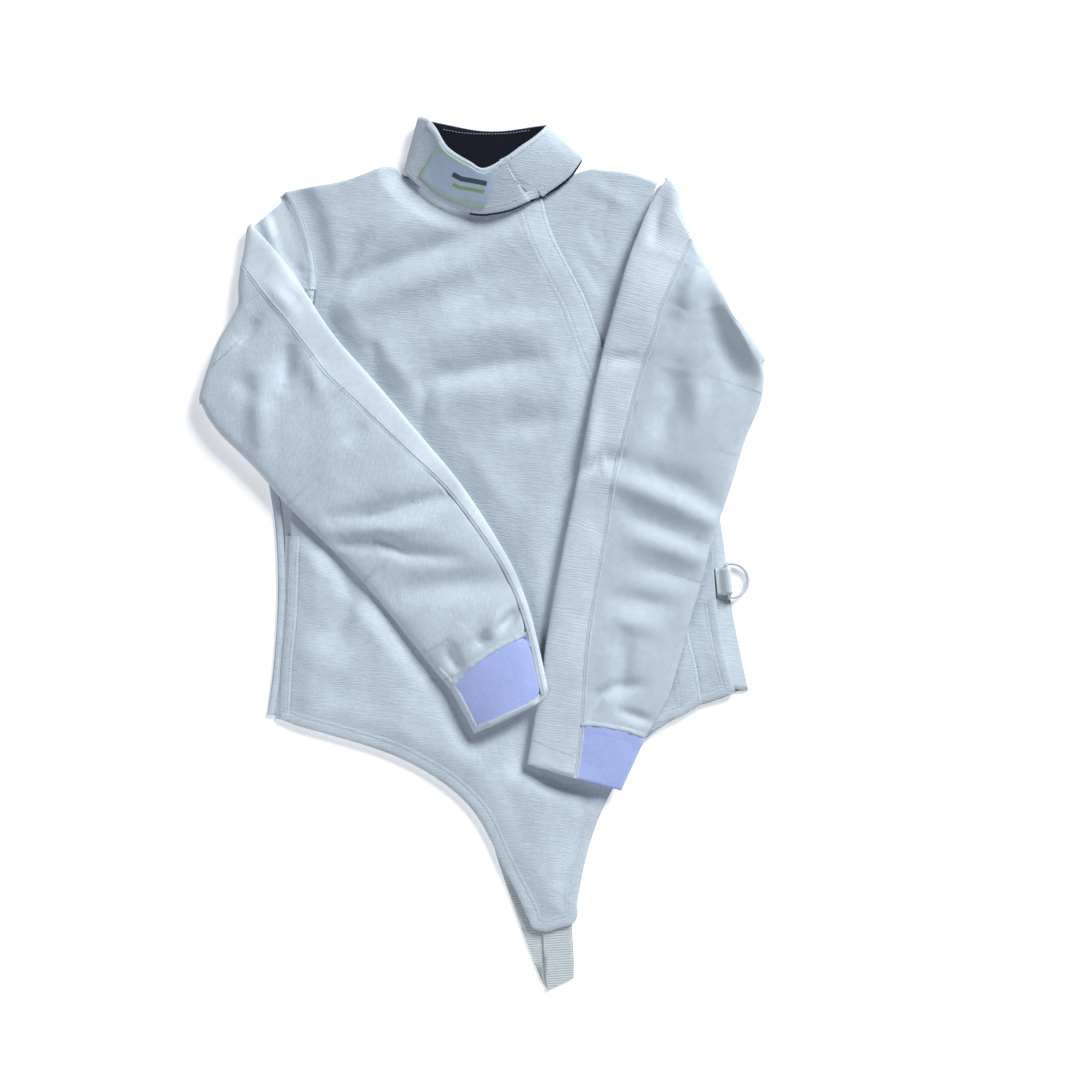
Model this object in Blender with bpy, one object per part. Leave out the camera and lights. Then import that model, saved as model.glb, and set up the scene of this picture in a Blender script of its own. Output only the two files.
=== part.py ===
"""A fencing jacket laid flat on its back, its sleeves folded over the front.

Metres, +Z up. The origin is the middle of the jacket's footprint, on the surface
that it lies on, and +Y runs from the crotch strap to the collar. Left and right in
the names are the wearer's, so the right sleeve lies at -X.
"""

import math

import bmesh
import bpy
import numpy as np
from mathutils import Vector

MM = 0.001

# Driving dimensions, in millimetres.
CLOTH = 2.0            # wall of a body or sleeve panel
COLLAR_WALL = 1.7
LINING_WALL = 1.0
WEBBING = 1.3
SEAM_GAP = 0.3         # between two pieces sewn edge to edge, or lying on each other
LOFT = 2.2             # how far the front rises off the back in the middle of the body
LOFT_SLOPE = 70.0      # width over which it rises from the body's sides
UNDER_FROM = 44.0      # the right front rises over the left front's edge between
UNDER_TO = 28.0        # these two distances before it
SLEEVE_HALF = 3.4      # half the height of a flattened sleeve
ARMHOLE_HALF = 2.2     # the same where it joins the armhole
TURN_RADIUS = 3.9      # of a sleeve's middle surface, where the sleeve folds back
SLEEVE_EDGE = 8.0      # width over which a sleeve rounds off at its long edges
CROWDING = 1.4         # exponent for the spacing of a sleeve's points
RING_WIRE = 4.6        # diameter of the D-ring's wire
RING_HEIGHT = 42.0     # over the wire, along the bar
RING_REACH = 27.5      # over the wire, from the bar's back to the bow
RING_TILT = 6.0        # degrees, of the bar away from Y
RING_DROOP = 9.9       # degrees, that the bow hangs below the bar
RING_PLAY = 0.35       # between the D-ring's wire and the tab's loop
RING_BEND = 3.0        # radius of the wire's middle at the ends of the bar
TAB_WIDTH = 30.0
TAIL_LIFT = 1.4        # extra height of the tail's tip, over the strap
COLLAR_LAP = 2.1       # how far the collar's right end stands over its left end
ARMHOLE_ROWS = 12      # of a panel's grid, down to the armpit
SIDE_ROWS = 11         # from there to the hem

# Outlines seen from above: x, y in millimetres.
RIGHT_ARMHOLE = [(-216, 397), (-201, 373), (-192, 348), (-185, 318), (-184, 285),
                 (-197, 235), (-221, 186), (-243, 153)]
LEFT_ARMHOLE = [(192, 407), (180, 373), (171, 329), (171, 279), (184, 230),
                (215, 180), (252, 142)]
RIGHT_SHOULDER = [(-216, 397), (-203, 400), (-157, 407), (-135, 414), (-107, 425),
                  (-94, 426)]
LEFT_SHOULDER = [(113, 424), (129, 421), (151, 420), (173, 415), (192, 407)]
BACK_NECK = [(-94, 426), (-85, 411), (-68, 405), (-36, 401), (3, 399), (41, 401),
             (85, 409), (113, 424)]
BACK_RIGHT_SIDE = [(-243, 153), (-236, 79), (-229, 44), (-226, 4), (-225, -51),
                   (-230, -128), (-237, -177)]
BACK_LEFT_SIDE = [(252, 142), (261, 37), (266, 4), (273, -56), (279, -88),
                  (284, -114), (292, -150)]
BACK_HEM = [(-237, -177), (-222, -181), (-113, -178), (19, -174), (151, -166),
            (292, -150)]
FRONT_NECK = [(-94, 426), (-85, 412), (-66, 401), (-50, 396), (-36, 388), (-18, 382),
              (3, 379), (30, 385), (50, 393), (64, 397)]
CLOSING_EDGE = [(64, 397), (74, 356), (96, 312), (113, 279), (130, 233), (173, 125),
                (212, -7), (226, -90), (234, -122), (241, -165)]
RIGHT_SIDE_SEAM = [(-243, 153), (-223, 109), (-212, 59), (-212, -7), (-214, -62),
                   (-219, -122), (-222, -182)]
FRONT_HEM = [(-222, -182), (-201, -190), (-157, -202), (-102, -219), (-69, -235),
             (-41, -252), (-19, -271), (-3, -290), (8, -312), (19, -337), (36, -370),
             (47, -392), (54, -410), (69, -415), (85, -411), (98, -407), (104, -398),
             (104, -381), (107, -359), (113, -337), (120, -309), (129, -284),
             (142, -259), (162, -223), (190, -190), (217, -179), (241, -165)]
LEFT_SIDE_SEAM = [(252, 142), (252, 81), (252, 15), (254, -14), (256, -51),
                  (263, -95), (272, -133), (278, -153)]
UNDER_HEM = [(173, -174), (206, -171), (241, -166), (278, -153)]
UNDER_EDGE = [(44, 390), (69, 246), (118, 114), (151, -7), (173, -174)]
UNDER_NECK = [(44, 390), (64, 396), (84, 403), (102, 414), (113, 424)]

# Largest folds of the right front: two ends, half width, rise of the cloth.
FRONT_FOLDS = [
    # x0, y0, x1, y1, width, rise
    (-181, 270, -20, 368, 13, -1.8),
    (-178, 300, -130, 350, 12, 1.4),
    (-60, 270, 40, 320, 20, -1.3),
    (-63, 176, 60, 214, 14, -1.6),
    (-75, 215, 30, 250, 18, 1.4),
]

# Sleeves: matching points of the upper edge and the underarm edge, with the height
# of the middle surface at each, from just after the fold to the hem.
RIGHT_FOLD = [(-259, 365), (-263, 329), (-270, 301), (-268, 271), (-287, 242),
              (-302, 205), (-314, 165)]
RIGHT_SLEEVE = [
    # ax, ay, az, bx, by, bz, seam
    (-243, 355, 11.2, -303, 151, 11.2, 0.24),
    (-219, 329, 11.2, -287, 130, 11.2, 0.25),
    (-197, 298, 11.2, -266, 110, 10.6, 0.24),
    (-177, 264, 11.2, -240, 84, 10.6, 0.23),
    (-157, 235, 11.2, -223, 62, 11.0, 0.22),
    (-113, 188, 11.2, -192, 31, 11.2, 0.20),
    (-67, 131, 11.2, -151, -9, 11.2, 0.15),
    (-25, 84, 11.2, -116, -48, 11.2, 0.12),
    (19, 15, 11.4, -78, -96, 11.2, 0.09),
    (43, -29, 12.2, -56, -124, 11.2, 0.09),
    (58, -82, 15.0, -34, -150, 11.4, 0.08),
    (73, -152, 18.4, -9, -197, 12.4, 0.08),
]
RIGHT_CUFF_ROW = 10
LEFT_FOLD = [(204, 416), (215, 409), (218, 381), (230, 348), (246, 318), (263, 290),
             (273, 264), (288, 251), (299, 232), (313, 213)]
LEFT_SLEEVE = [
    # ax, ay, az, bx, by, bz, seam
    (194, 409, 12.6, 309, 194, 12.4, 0.30),
    (179, 384, 13.0, 306, 169, 12.4, 0.30),
    (168, 356, 13.2, 299, 150, 12.4, 0.29),
    (157, 329, 13.2, 289, 130, 12.6, 0.29),
    (148, 296, 13.2, 281, 103, 12.8, 0.29),
    (137, 257, 13.2, 273, 76, 13.2, 0.28),
    (126, 216, 13.2, 262, 44, 13.2, 0.28),
    (116, 169, 13.2, 250, 10, 13.2, 0.28),
    (107, 114, 13.2, 241, -29, 13.2, 0.26),
    (96, 59, 12.6, 228, -70, 13.2, 0.29),
    (82, -7, 12.6, 216, -117, 13.2, 0.31),
    (70, -73, 12.2, 204, -158, 13.2, 0.33),
    (60, -139, 11.4, 186, -189, 13.0, 0.40),
    (53, -185, 10.6, 178, -202, 12.4, 0.44),
    (46, -230, 10.6, 152, -260, 10.8, 0.52),
]
LEFT_CUFF_ROW = 13

# Collar stations round the neck, from the right front end, over the right side, the
# back and the left side, to the left front end: outer face, bottom and top edge.
COLLAR = [
    # bx, by, bz, tx, ty, tz
    (52, 387, 11.8, 41, 443, 33),
    (30, 377, 11.8, 25, 431, 34),
    (3, 372, 11.0, 2, 419, 34),
    (-17, 375, 10.3, -12, 426, 34),
    (-36, 381, 10.0, -25, 433, 33),
    (-52, 389, 9.6, -40, 444, 31),
    (-69, 402, 9.2, -49, 461, 28),
    (-82, 414, 8.8, -60, 475, 22),
    (-87, 421, 5.0, -71, 478, 13),
    (-81, 418, 0.5, -66, 477, 4.0),
    (-66, 413, 0.0, -54, 475, 1.6),
    (-36, 405, 0.0, -30, 470, 1.0),
    (3, 402, 0.0, -3, 465, 1.0),
    (41, 405, 0.0, 25, 465, 1.0),
    (80, 414, 0.0, 52, 469, 1.4),
    (98, 422, 0.2, 66, 471, 3.0),
    (109, 433, 2.8, 70, 472, 7.0),
    (109.5, 433, 8.0, 71, 471, 13),
    (102, 422, 11.0, 69, 467, 19),
    (94, 412, 10.2, 64, 461, 24),
    (74, 397, 10.8, 54, 452, 28),
    (52, 387, 11.2, 41, 443, 31),
    (36, 380, 11.2, 27, 432, 32.6),
    (17, 376, 11.2, 10, 425, 33),
]
COLLAR_COLUMNS = [     # from station, to station, columns: closer round the turns
    (0, 6, 11), (6, 10.5, 20), (10.5, 14, 7), (14, 19, 22), (19, 23, 8),
]
LINING_START = 11      # column where the lining begins, under the right front
LABEL_FROM = 2.2       # stations of the label's ends, at the bottom edge
LABEL_TO = 6.4
LABEL_SLANT = -0.9     # stations from its bottom to its top edge
LABEL_WALL = 0.6

# Crotch strap: matching points of its two edges, from under the tail's tip down to
# the fold, then back along the surface to the back's hem.
STRAP_FRONT = [(66, -395, 98, -392), (66, -416, 98, -412), (68, -447, 100, -441)]
STRAP_FOLD = (70, -481, 102, -466)
STRAP_BACK = [(63, -466, 97, -452), (52, -437, 84, -427), (36, -394, 69, -384),
              (19, -345, 52, -336), (10, -316, 43, -310), (4, -271, 36, -268),
              (4, -216, 36, -216), (6, -175.6, 38, -174.2)]


def arc_lengths(points):
    """Running length at each point of a polyline, starting at 0."""
    steps = np.linalg.norm(np.diff(points, axis=0), axis=1)
    return np.concatenate([[0.0], np.cumsum(steps)])


def smooth_at(points, where):
    """Points of a smooth curve through the given ones, at their fractional numbers."""
    points = np.asarray(points, float)
    padded = np.vstack([2 * points[0] - points[1], points, 2 * points[-1] - points[-2]])
    found = []
    for value in where:
        number = int(min(max(math.floor(value), 0), len(points) - 2))
        t = value - number
        before, start, end, after = padded[number:number + 4]
        found.append(0.5 * (2 * start + (end - before) * t
                            + (2 * before - 5 * start + 4 * end - after) * t * t
                            + (3 * start - before - 3 * end + after) * t ** 3))
    return np.array(found)


def along(points, fractions):
    """Points at the given fractions of the length of a smooth curve."""
    fine = smooth_at(points, np.linspace(0, len(points) - 1, 12 * len(points)))
    lengths = arc_lengths(fine)
    wanted = np.asarray(fractions) * lengths[-1]
    return np.stack([np.interp(wanted, lengths, fine[:, k]) for k in range(fine.shape[1])], 1)


def ease(value, low, high):
    """0 below low, 1 above high, and a smooth rise between."""
    t = np.clip((value - low) / (high - low), 0, 1)
    return t * t * (3 - 2 * t)


def to_segment(x, y, x0, y0, x1, y1):
    """Distance from each point to a straight stretch, seen from above."""
    dx, dy = x1 - x0, y1 - y0
    t = np.clip(((x - x0) * dx + (y - y0) * dy) / (dx * dx + dy * dy), 0, 1)
    return np.hypot(x - x0 - t * dx, y - y0 - t * dy)


def material(name, colour, roughness):
    made = bpy.data.materials.new(name)
    made.use_nodes = True
    shader = made.node_tree.nodes["Principled BSDF"]
    shader.inputs["Base Color"].default_value = (*colour, 1)
    shader.inputs["Roughness"].default_value = roughness
    shader.inputs["Metallic"].default_value = 0
    return made


def wall(name, outer, inner, look):
    """An object: the wall between two matching grids of points, closed at its edges."""
    rows, columns = outer.shape[:2]
    mesh = bmesh.new()
    grids = [[[mesh.verts.new(Vector(point) * MM) for point in row] for row in grid]
             for grid in (outer, inner)]
    for grid in grids:
        for i in range(rows - 1):
            for j in range(columns - 1):
                mesh.faces.new((grid[i][j], grid[i][j + 1], grid[i + 1][j + 1], grid[i + 1][j]))
    rim = ([(0, j) for j in range(columns)] + [(i, columns - 1) for i in range(1, rows)]
           + [(rows - 1, j) for j in range(columns - 2, -1, -1)]
           + [(i, 0) for i in range(rows - 2, -1, -1)])
    for (i, j), (k, m) in zip(rim[:-1], rim[1:]):
        mesh.faces.new((grids[0][i][j], grids[0][k][m], grids[1][k][m], grids[1][i][j]))
    bmesh.ops.recalc_face_normals(mesh, faces=mesh.faces)
    data = bpy.data.meshes.new(name)
    mesh.to_mesh(data)
    mesh.free()
    data.materials.append(look)
    data.shade_smooth()
    data.set_sharp_from_angle(angle=math.radians(40))
    made = bpy.data.objects.new(name, data)
    bpy.context.scene.collection.objects.link(made)
    return made


def patch(top, bottom, start, end, columns):
    """Grid of x, y between four edges: start and end hold a point for each row, from
    top to bottom, at the two ends of the top and the bottom edge."""
    across = np.linspace(0, 1, columns)
    down = np.linspace(0, 1, len(start))
    upper, lower = along(top, across), along(bottom, across)
    u, v = across[None, :, None], down[:, None, None]
    corners = ((1 - u) * (1 - v) * upper[0] + u * (1 - v) * upper[-1]
               + (1 - u) * v * lower[0] + u * v * lower[-1])
    return ((1 - v) * upper[None] + v * lower[None]
            + (1 - u) * start[:, None] + u * end[:, None] - corners)


def armhole_and_side(armhole, side):
    """A panel's edge from the shoulder down the armhole and the side to the hem."""
    upper = along(armhole, np.linspace(0, 1, ARMHOLE_ROWS + 1))
    lower = along(side, np.linspace(0, 1, SIDE_ROWS + 1))
    return np.vstack([upper, lower[1:]])


def body_loft(x, y):
    """How far the panels on top rise off the back, from the body's edges inwards."""
    narrowing = ease(y, 90, 240)
    low = -212 + 32 * narrowing
    high = 250 - 82 * narrowing
    across = ease(x, low, low + LOFT_SLOPE) * (1 - ease(x, high - LOFT_SLOPE, high))
    return LOFT * across * ease(y, -170, -90) * (1 - ease(y, 300, 390))


def over_under_front(x, y):
    """1 where the left front lies beneath, 0 clear of it."""
    edge = along(UNDER_EDGE, np.linspace(0, 1, 40))[::-1]
    inner = np.interp(y, edge[:, 1], edge[:, 0])
    return ease(x, inner - UNDER_FROM, inner - UNDER_TO) * ease(y, -214, -190)


def folds(x, y, table):
    """Rise of the cloth over its folds."""
    rise = np.zeros_like(x)
    for x0, y0, x1, y1, width, height in table:
        rise += height * np.exp(-(to_segment(x, y, x0, y0, x1, y1) / width) ** 2)
    return rise


def panel(name, outline, height, look):
    """A flat-lying cloth panel: its outline's grid, at a height for its lower face."""
    x, y = outline[..., 0], outline[..., 1]
    low = height(x, y)
    wall(name, np.dstack([x, y, low + CLOTH]), np.dstack([x, y, low]), look)


def back_panel(look):
    """Back: flat on the surface, a little wider than the fronts at both sides."""
    top = RIGHT_SHOULDER[:-1] + BACK_NECK[:-1] + LEFT_SHOULDER
    outline = patch(top, BACK_HEM, armhole_and_side(RIGHT_ARMHOLE, BACK_RIGHT_SIDE),
                    armhole_and_side(LEFT_ARMHOLE, BACK_LEFT_SIDE), 17)
    panel("back_panel", outline, lambda x, y: np.zeros_like(x), look)


def left_front(look):
    """Left front: on the back, under the right front's closing edge."""
    hidden = along(UNDER_EDGE, np.linspace(0, 1, ARMHOLE_ROWS + SIDE_ROWS + 1))
    outline = patch(UNDER_NECK[:-1] + LEFT_SHOULDER, UNDER_HEM, hidden,
                    armhole_and_side(LEFT_ARMHOLE, LEFT_SIDE_SEAM), 9)

    def height(x, y):
        return CLOTH + SEAM_GAP + body_loft(x, y)

    panel("left_front", outline, height, look)


def front_panel(look):
    """Right front: over the back and the left front, with the tail below the waist."""
    closing = along(CLOSING_EDGE, np.linspace(0, 1, ARMHOLE_ROWS + SIDE_ROWS + 1))
    outline = patch(RIGHT_SHOULDER[:-1] + FRONT_NECK, FRONT_HEM,
                    armhole_and_side(RIGHT_ARMHOLE, RIGHT_SIDE_SEAM), closing, 22)

    def height(x, y):
        rest = CLOTH + SEAM_GAP + body_loft(x, y)
        rest += (CLOTH + 2 * SEAM_GAP) * over_under_front(x, y)
        rest += TAIL_LIFT * (1 - ease(y, -385, -340))
        crease = folds(x, y, FRONT_FOLDS) * body_loft(x, y) / LOFT
        return rest + np.maximum(crease, -0.9 * body_loft(x, y))

    panel("front_panel", outline, height, look)


def edge_round(spots, width):
    """Share of the full half height at each place across a flattened tube."""
    near = np.minimum(spots, 1 - spots) * width
    inset = np.clip(1 - near / SLEEVE_EDGE, 0, 1)
    return np.sqrt(1 - inset ** 2)


def sleeve_ring(line, heights, normal, half, seam, inset):
    """One ring of a flattened sleeve, as two runs of points: the back sleeve's, from
    the seam to the underarm edge, and the front sleeve's, from the underarm edge
    round the hidden side and the upper edge to the seam."""
    width = arc_lengths(line)[-1]
    gap = (0.7 * SEAM_GAP) / width
    # Points stand closer together towards the tube's two long edges.
    shown = seam + gap + (1 - seam - gap) * (1 - (1 - np.linspace(0, 1, 11)) ** CROWDING)
    even = np.linspace(0, 1, 13)
    hidden = 1 - even - 0.055 * np.sin(2 * np.pi * even)
    strip = (seam - gap) * np.linspace(0, 1, 5)[1:] ** CROWDING
    rise = half - inset

    def place(spots, side):
        narrow = inset / width
        true = narrow + np.asarray(spots) * (1 - 2 * narrow)
        spot = along(line, true)
        middle = np.interp(true, [0, 1], heights)
        lift = side * rise * edge_round(np.asarray(spots), width - 2 * inset)
        # The two pieces part at the underarm edge by the seam's gap.
        at_edge = np.asarray(spots) > 0.9999
        lift = np.where(at_edge, 0.5 * SEAM_GAP * side, lift)
        flat = np.column_stack([spot, middle])
        return flat + lift[:, None] * normal

    back = place(shown, 1)
    front = np.vstack([place(hidden, -1), place(strip, 1)])
    return back, front


def sleeve_lines(armhole, fold, rows, outward):
    """The stations of a folded sleeve, from the armhole to the hem: each a line across
    it, the heights of its ends, the shown side's normal, its half height, its seam."""
    down = np.array([0, 0, -1.0])
    up = np.array([0, 0, 1.0])
    across = np.linspace(0, 1, 15)
    side = np.array([*outward, 0.0])
    start = along(armhole, across)
    run = np.gradient(start, axis=0)
    away = np.column_stack([run[:, 1], -run[:, 0]]) / np.linalg.norm(run, axis=1)[:, None]
    start += 3 * SEAM_GAP * away * np.sign(away @ side[:2])[:, None]
    crest = along(fold, across)
    seam = rows[0][6]
    turn = TURN_RADIUS + SLEEVE_HALF
    axis_height = SLEEVE_HALF + TURN_RADIUS
    stations = []
    edge_of_turn = crest - turn * side[:2]
    for share in (0.0, 0.5):
        line = start + share * (edge_of_turn - start)
        half = ARMHOLE_HALF + share * (SLEEVE_HALF - ARMHOLE_HALF)
        stations.append((line, (half, half), down, half, seam))
    for degrees in (-90, -45, 0, 45, 90):
        angle = math.radians(degrees)
        normal = math.cos(angle) * side + math.sin(angle) * up
        middle = axis_height + TURN_RADIUS * math.sin(angle)
        line = edge_of_turn + TURN_RADIUS * math.cos(angle) * side[:2]
        stations.append((line, (middle, middle), normal, SLEEVE_HALF, seam))
    for ax, ay, az, bx, by, bz, seam in rows:
        line = np.linspace((ax, ay), (bx, by), 15)
        stations.append((line, (az, bz), up, SLEEVE_HALF, seam))
    return stations


def sleeve(side, armhole, fold, rows, outward, cuff_row, cloth, elastic):
    """A sleeve folded back over its outer edge: front piece, back piece and cuff."""
    stations = sleeve_lines(armhole, fold, rows, outward)
    rings = [[sleeve_ring(*station, inset) for station in stations] for inset in (0, CLOTH)]
    back = [np.array([ring[0] for ring in surface]) for surface in rings]
    front = [np.array([ring[1] for ring in surface]) for surface in rings]
    wall(side + "_sleeve_front", front[0], front[1], cloth)
    cut = len(stations) - len(rows) + cuff_row
    upper, lower = [], []
    for grid in back:
        step = grid[cut] - grid[cut - 1]
        step /= np.linalg.norm(step, axis=1)[:, None]
        last = grid[cut] - 0.5 * SEAM_GAP * step
        first = grid[cut] + 0.5 * SEAM_GAP * step
        upper.append(np.concatenate([grid[:cut], last[None]]))
        middle = 0.5 * (first + grid[cut + 1])
        lower.append(np.stack([first, middle, grid[cut + 1]]))
    wall(side + "_sleeve_back", upper[0], upper[1], cloth)
    wall(side + "_cuff", lower[0], lower[1], elastic)


def collar_face(numbers, heights, out):
    """Points of the collar at station numbers and shares of its height, moved out of
    its outer face. The right front end rises over the left one."""
    bottoms = smooth_at([row[:3] for row in COLLAR], numbers.ravel())
    tops = smooth_at([row[3:] for row in COLLAR], numbers.ravel())
    share = heights.ravel()[:, None]
    points = bottoms + share * (tops - bottoms)
    ahead = smooth_at([row[:3] for row in COLLAR], numbers.ravel() + 0.1)
    ahead_top = smooth_at([row[3:] for row in COLLAR], numbers.ravel() + 0.1)
    run = ahead + share * (ahead_top - ahead) - points
    normal = np.cross(run, tops - bottoms)
    normal /= np.linalg.norm(normal, axis=1)[:, None]
    rise = COLLAR_LAP * (1 - ease(numbers.ravel(), 1.5, 4.5))
    moved = points - normal * (np.asarray(out).ravel() + rise)[:, None]
    return moved.reshape(*numbers.shape, 3)


def collar_grid(base, slant, fades, low, high, rows):
    """Station numbers and height shares over a stretch of the collar. The first column
    slants by so many stations from bottom to top, which fades out if fades is set."""
    share = np.linspace(low, high, rows)[:, None]
    amount = 1 - ease(base, base[0], base[0] + 4) if fades else np.ones_like(base)
    return base + slant * share * amount, np.broadcast_to(share, (rows, len(base)))


def collar(look, lining_look, label_look):
    """Collar band, its dark lining, and the bare label on its right front."""
    base = np.concatenate([np.linspace(*stretch, endpoint=False) for stretch in COLLAR_COLUMNS])
    numbers, heights = collar_grid(base, 1.1, True, 0, 1, 5)
    zero = np.zeros_like(numbers)
    wall("collar", collar_face(numbers, heights, zero),
         collar_face(numbers, heights, zero - COLLAR_WALL), look)
    under = COLLAR_WALL + 3 * SEAM_GAP
    numbers, heights = collar_grid(base[LINING_START:], 0, False, -0.02, 0.985, 5)
    zero = np.zeros_like(numbers)
    wall("collar_lining", collar_face(numbers, heights, zero - under),
         collar_face(numbers, heights, zero - under - LINING_WALL), lining_look)
    numbers, heights = collar_grid(np.linspace(LABEL_FROM, LABEL_TO, 14), LABEL_SLANT, False,
                                   0.14, 0.93, 5)
    zero = np.zeros_like(numbers)
    wall("collar_label", collar_face(numbers, heights, zero + 2 * SEAM_GAP + LABEL_WALL),
         collar_face(numbers, heights, zero + 2 * SEAM_GAP), label_look)


def crotch_strap(look):
    """Webbing: from under the tail's tip, folded at the bottom, back to the back's hem."""
    radius = 0.5 * (WEBBING + 2 * SEAM_GAP)
    lines, normals = [], []
    for ax, ay, bx, by in STRAP_FRONT:
        lines.append([(ax, ay, 0.5 * WEBBING + 2 * radius), (bx, by, 0.5 * WEBBING + 2 * radius)])
        normals.append((0, 0, 1))
    ax, ay, bx, by = STRAP_FOLD
    out = np.array([by - ay, ax - bx, 0.0])
    out /= np.linalg.norm(out)
    core = np.array([(ax, ay, 0.5 * WEBBING + radius), (bx, by, 0.5 * WEBBING + radius)])
    core -= out * (radius + 0.5 * WEBBING)
    for degrees in (90, 60, 30, 0, -30, -60, -90):
        angle = math.radians(degrees)
        normal = math.cos(angle) * out + np.array([0, 0, math.sin(angle)])
        lines.append(core + radius * normal)
        normals.append(normal)
    for ax, ay, bx, by in STRAP_BACK:
        lines.append([(ax, ay, 0.5 * WEBBING), (bx, by, 0.5 * WEBBING)])
        normals.append((0, 0, -1))
    lines = np.array(lines, float)
    spread = np.linspace(0, 1, 4)[None, :, None]
    grid = lines[:, :1] + spread * (lines[:, 1:] - lines[:, :1])
    shift = 0.5 * WEBBING * np.array(normals, float)[:, None]
    wall("crotch_strap", grid + shift, grid - shift, look)


# The middle of the ring's bar, seen from above, and the tab's sewn end beside it.
BAR = (269.3, -29.7)
TAB_END = -12.6
BAR_HEIGHT = CLOTH + SEAM_GAP + WEBBING + RING_PLAY + RING_WIRE / 2


def ring_tab(look):
    """Webbing tab on the back's left edge, folded round the D-ring's bar."""
    loop = RING_WIRE / 2 + RING_PLAY + WEBBING / 2
    low = BAR_HEIGHT - loop
    path = [(TAB_END, low), (-8, low), (-3, low)]
    for angle in np.radians(range(-90, 91, 20)):
        path.append((loop * math.cos(angle), BAR_HEIGHT + loop * math.sin(angle)))
    stacked = low + WEBBING + SEAM_GAP
    path += [(-4, BAR_HEIGHT + 0.6 * loop), (-7, stacked + 0.9), (-9.6, stacked)]
    path.append((TAB_END, stacked))
    path = np.array(path)
    run = np.gradient(path, axis=0)
    run /= np.linalg.norm(run, axis=1)[:, None]
    side = np.column_stack([run[:, 1], -run[:, 0]])
    faces = []
    tilt = math.radians(RING_TILT)
    for sign in (1, -1):
        line = path + sign * 0.5 * WEBBING * side
        grid = []
        for y in (-0.5 * TAB_WIDTH, -0.17 * TAB_WIDTH, 0.17 * TAB_WIDTH, 0.5 * TAB_WIDTH):
            grid.append([(BAR[0] + x * math.cos(tilt) - y * math.sin(tilt),
                          BAR[1] + x * math.sin(tilt) + y * math.cos(tilt), z) for x, z in line])
        faces.append(np.array(grid).transpose(1, 0, 2))
    wall("ring_tab", faces[0], faces[1], look)


def d_ring(look):
    """D-ring: a bent wire with its origin on the bar, about which it swings."""
    half = (RING_HEIGHT - RING_WIRE) / 2
    reach = RING_REACH - RING_WIRE
    straight = reach - half
    bend = RING_BEND
    route = [(0, y) for y in np.linspace(-half + bend, half - bend, 7)]
    route += [(bend - bend * math.cos(angle), half - bend + bend * math.sin(angle))
              for angle in np.radians((30, 60, 90))]
    route += [(straight + half * math.sin(angle), half * math.cos(angle))
              for angle in np.radians(range(0, 181, 12))]
    route += [(bend - bend * math.sin(angle), -half + bend - bend * math.cos(angle))
              for angle in np.radians((0, 30, 60))]
    curve = bpy.data.curves.new("d_ring", "CURVE")
    curve.dimensions = "3D"
    curve.bevel_depth = RING_WIRE / 2 * MM
    curve.bevel_resolution = 2
    spline = curve.splines.new("POLY")
    spline.points.add(len(route) - 1)
    spline.use_cyclic_u = True
    for point, (x, y) in zip(spline.points, route):
        point.co = (x * MM, y * MM, 0, 1)
    curve.materials.append(look)
    made = bpy.data.objects.new("d_ring", curve)
    made.location = (BAR[0] * MM, BAR[1] * MM, BAR_HEIGHT * MM)
    made.rotation_euler = (0, math.radians(RING_DROOP), math.radians(RING_TILT))
    bpy.context.scene.collection.objects.link(made)


for old in list(bpy.data.objects):
    bpy.data.objects.remove(old)

WHITE = material("white_cloth", (0.56, 0.62, 0.68), 0.85)
LILAC = material("lilac_elastic", (0.44, 0.43, 0.72), 0.7)
NAVY = material("navy_lining", (0.008, 0.009, 0.016), 0.75)
SATIN = material("label_satin", (0.42, 0.52, 0.66), 0.5)
TAPE = material("white_webbing", (0.52, 0.58, 0.6), 0.7)
LACQUER = material("white_lacquer", (0.62, 0.66, 0.72), 0.35)

back_panel(WHITE)
left_front(WHITE)
front_panel(WHITE)
sleeve("right", RIGHT_ARMHOLE, RIGHT_FOLD, RIGHT_SLEEVE, (-0.96, 0.28), RIGHT_CUFF_ROW,
       WHITE, LILAC)
sleeve("left", LEFT_ARMHOLE, LEFT_FOLD, LEFT_SLEEVE, (0.88, 0.47), LEFT_CUFF_ROW,
       WHITE, LILAC)
collar(WHITE, NAVY, SATIN)
crotch_strap(TAPE)
ring_tab(TAPE)
d_ring(LACQUER)
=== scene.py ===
"""A white fencing jacket laid flat on its back, its two sleeves folded over the front.

Metres, +Z up. Left and right are the wearer's, so the right sleeve lies at -X.
"""
import math

import bmesh
import bpy
import numpy as np
from mathutils import Matrix, Vector, noise
from mathutils.bvhtree import BVHTree


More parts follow.
